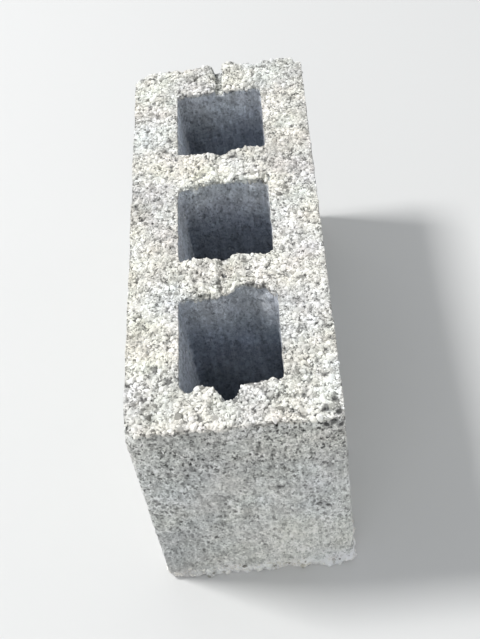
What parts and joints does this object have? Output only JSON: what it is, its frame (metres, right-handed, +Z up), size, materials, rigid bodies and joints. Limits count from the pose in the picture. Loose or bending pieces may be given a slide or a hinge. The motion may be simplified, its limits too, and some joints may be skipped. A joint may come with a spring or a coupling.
{
  "type": "hollow concrete block",
  "caption": "Rectangular hollow concrete wall block with nearly square through cells in a row, a rough struck top and core-bar notches across its webs.",
  "frame": {"origin": "middle of the bottom bed face, on the level surface that the block stands on", "axes": "+Z up, towards the rough struck top face, +Y along the length and the row of cells, +X across the width"},
  "size_m": [0.15, 0.4, 0.2],
  "materials": {
    "concrete": "matt, sandy, open-textured grey concrete with small pits, and coarser and paler on the struck top"
  },
  "bodies": {
    "root": {"hollow_block": "concrete"}
  },
  "joints": []
}
